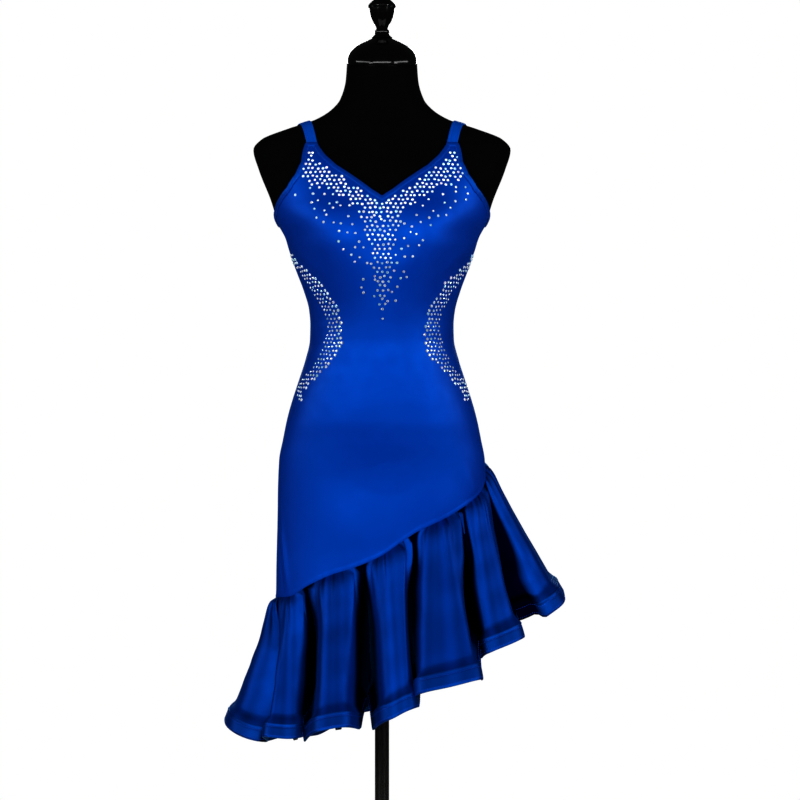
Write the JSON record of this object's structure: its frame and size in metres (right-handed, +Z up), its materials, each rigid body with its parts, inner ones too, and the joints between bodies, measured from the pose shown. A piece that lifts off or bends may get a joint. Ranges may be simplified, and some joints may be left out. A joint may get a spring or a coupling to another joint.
{
  "type": "salsa dance dress on dress form",
  "caption": "Fitted blue satin dance dress with rhinestones and a slanting flounce, on a black limbless dress form with a pole stand.",
  "frame": {"origin": "middle of the base's underside, on the pole's axis", "axes": "+Z up; the dress faces -Y; +X is to the right of someone who looks at its front"},
  "size_m": [0.5489, 0.4616, 1.596],
  "materials": {
    "satin": "glossy stretch satin, royal blue",
    "satin_binding": "satin strips, stitched",
    "jersey": "matte black cover",
    "lacquer": "black gloss lacquer",
    "steel": "black coated steel"
  },
  "bodies": {
    "root": {"form_torso": "jersey", "neck_cap": "lacquer", "finial": "lacquer", "pole": "steel", "base": "steel", "front_panel": "satin", "back_panel": "satin", "neck_binding_front": "satin_binding", "neck_binding_back": "satin_binding", "armhole_binding_left": "satin_binding", "armhole_binding_right": "satin_binding", "strap_left": "satin_binding", "strap_right": "satin_binding", "flounce_front": "satin", "flounce_back": "satin", "hem_band_front": "satin_binding", "hem_band_back": "satin_binding"}
  },
  "joints": []
}
